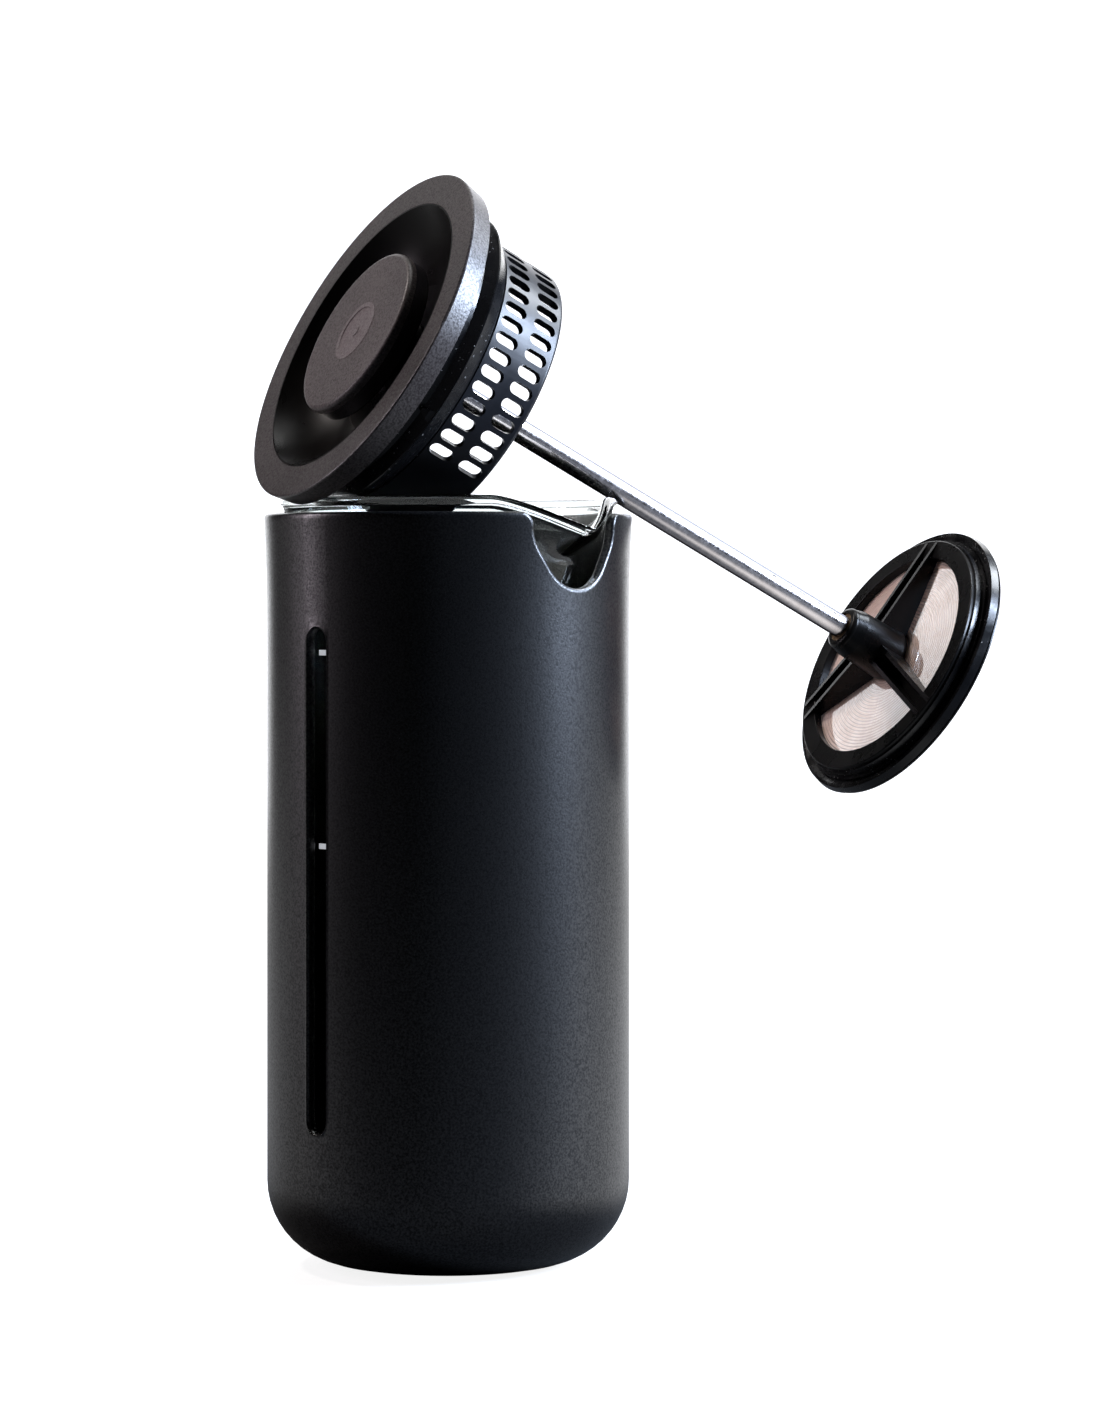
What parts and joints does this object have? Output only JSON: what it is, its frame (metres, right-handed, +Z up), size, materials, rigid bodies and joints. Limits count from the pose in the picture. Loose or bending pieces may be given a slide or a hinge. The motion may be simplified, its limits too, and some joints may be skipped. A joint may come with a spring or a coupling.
{
  "type": "french press",
  "caption": "French press with a jacketed glass beaker; its round lid, rod and filter lie across the open mouth beside the pouring spout.",
  "frame": {"origin": "centre of the flat base under the jacket", "axes": "+Z up, +X along the pouring spout, -Y through the level window"},
  "size_m": [0.1273, 0.1881, 0.2636],
  "materials": {
    "jacket_plastic": "fine moulded texture",
    "foot_rubber": "matte",
    "beaker_glass": "clear, fire-polished",
    "mark_print": "printed",
    "lid_plastic": "fine satin texture",
    "bowl_plastic": "smooth",
    "skirt_plastic": "satin",
    "seal_silicone": "glossy",
    "bush_nylon": "smooth",
    "clip_steel": "spring steel",
    "knob_plastic": "fine satin texture",
    "badge_metal": "satin",
    "ring_brass": "machined",
    "rod_steel": "bright drawn",
    "filter_plastic": "satin",
    "mesh_weave": "fine weave"
  },
  "bodies": {
    "jacket_body": {"jacket": "jacket_plastic", "base_foot": "foot_rubber", "beaker_cushion": "foot_rubber", "centring_ring": "foot_rubber"},
    "beaker_body": {"glass_beaker": "beaker_glass", "lower_level_mark": "mark_print", "upper_level_mark": "mark_print"},
    "seal_body": {"lid_seal": "seal_silicone"},
    "lid_body": {"lid_cover": "lid_plastic", "lid_bowl": "bowl_plastic", "guide_sleeve": "bowl_plastic", "strainer_skirt": "skirt_plastic"},
    "guide_body": {"guide_bush": "bush_nylon", "bush_clip": "clip_steel"},
    "plunger_body": {"knob_cap": "knob_plastic", "knob_badge": "badge_metal", "knob_body": "skirt_plastic", "knob_insert": "ring_brass", "plunger_rod": "rod_steel", "filter_spider": "filter_plastic", "hub_ring": "ring_brass", "mesh_screen": "mesh_weave", "filter_seal": "seal_silicone", "lower_plate": "filter_plastic", "clamp_washer": "clip_steel", "clamp_nut": "clip_steel"}
  },
  "joints": [
    {"name": "beaker_lift", "type": "slide", "parent": "jacket_body", "child": "beaker_body", "axis": [0, 0, 1], "range_m": [0, 0.19]},
    {"name": "lid_lift", "type": "slide", "parent": "beaker_body", "child": "seal_body", "axis": [0, 0, 1], "range_m": [0, 0.12]},
    {"name": "lid_turn", "type": "hinge", "parent": "seal_body", "child": "lid_body", "pos_m": [-0.00153, -0.0278, 0.22475], "axis": [-0.2844, -0.8374, 0.4667], "continuous": true},
    {"name": "rod_turn", "type": "hinge", "parent": "lid_body", "child": "guide_body", "pos_m": [-0.00153, -0.0278, 0.22475], "axis": [-0.2844, -0.8374, 0.4667], "continuous": true},
    {"name": "plunger_slide", "type": "slide", "parent": "guide_body", "child": "plunger_body", "axis": [-0.2844, -0.8374, 0.4667], "range_m": [0, 0.06]}
  ]
}
